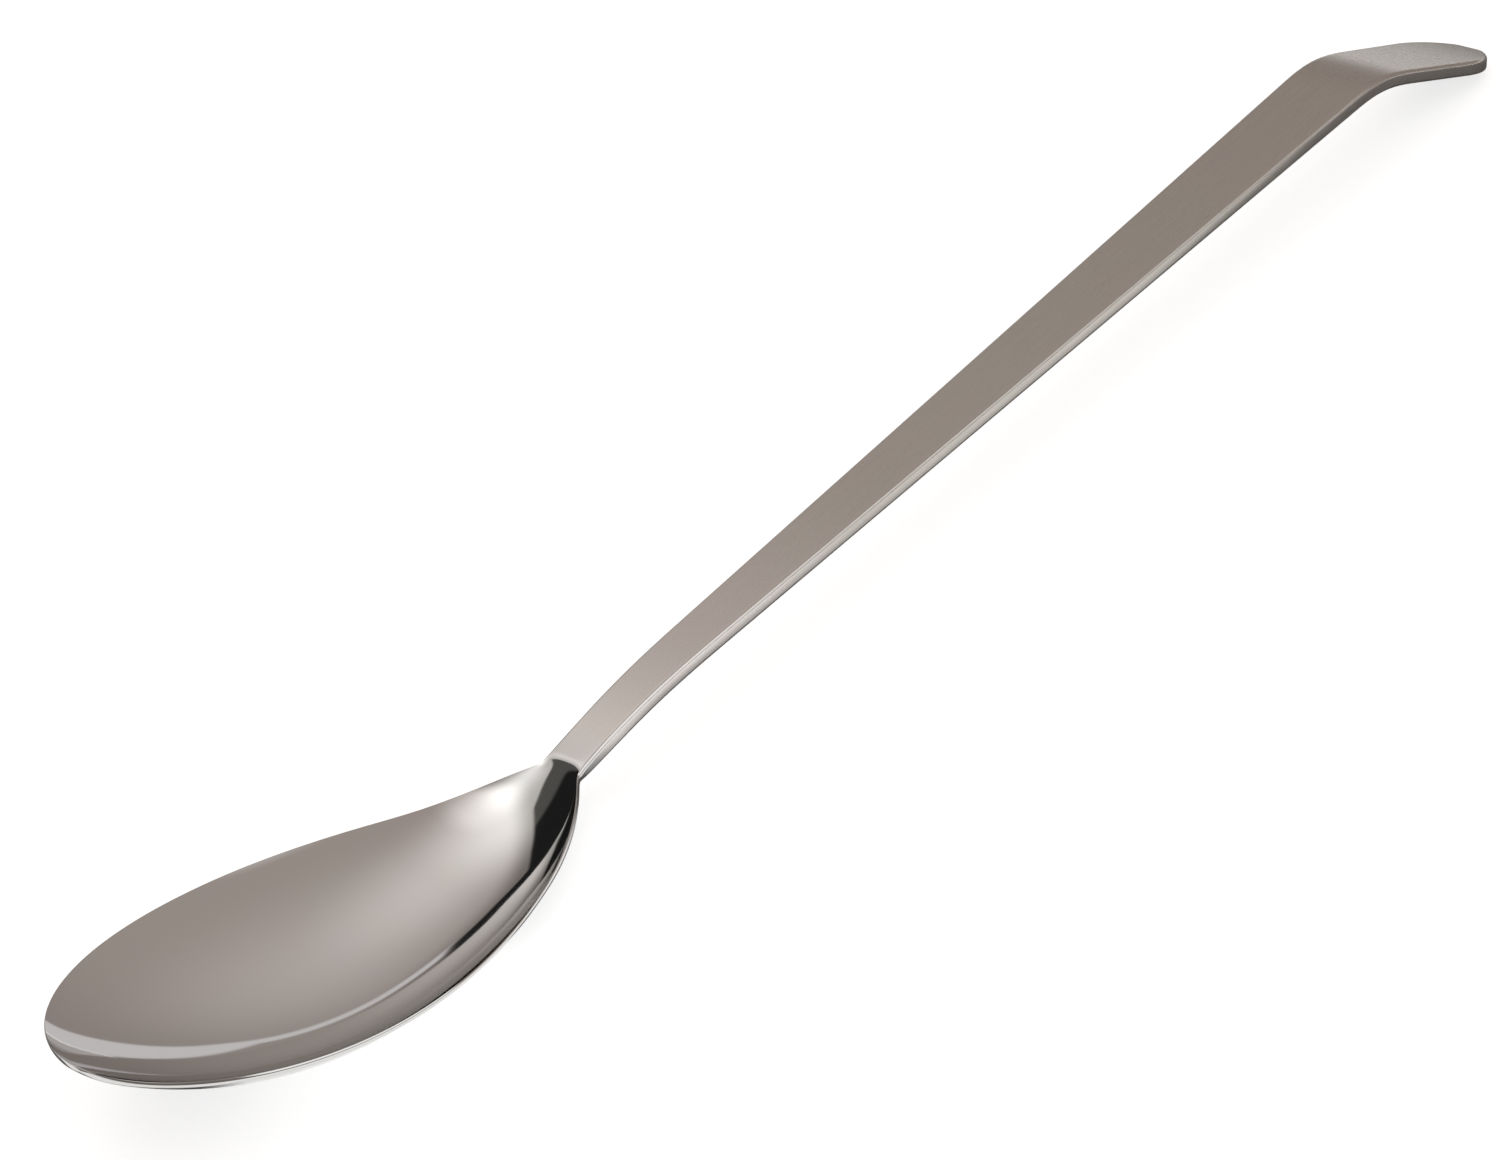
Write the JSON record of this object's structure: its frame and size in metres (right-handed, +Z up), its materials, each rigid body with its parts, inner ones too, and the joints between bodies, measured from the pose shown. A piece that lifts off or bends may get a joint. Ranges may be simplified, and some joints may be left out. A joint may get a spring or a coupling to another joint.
{
  "type": "serving spoon",
  "caption": "Stainless steel serving spoon: a shallow egg-shaped bowl on a long flat handle that widens toward an end hooked down to catch on a pan's rim.",
  "frame": {"origin": "on the table, under the middle of the box of the spoon as it lies on the bowl's belly and the end of the hook", "axes": "+X from the bowl's tip to the hook, +Y to the left of that across the bowl, +Z up out of the table"},
  "size_m": [0.3394, 0.07, 0.0246],
  "materials": {
    "polished_steel": "mirror polished stainless steel",
    "satin_steel": "soft satin polished stainless steel"
  },
  "bodies": {
    "root": {"bowl": "polished_steel", "neck_weld": "satin_steel", "handle": "satin_steel"}
  },
  "joints": []
}
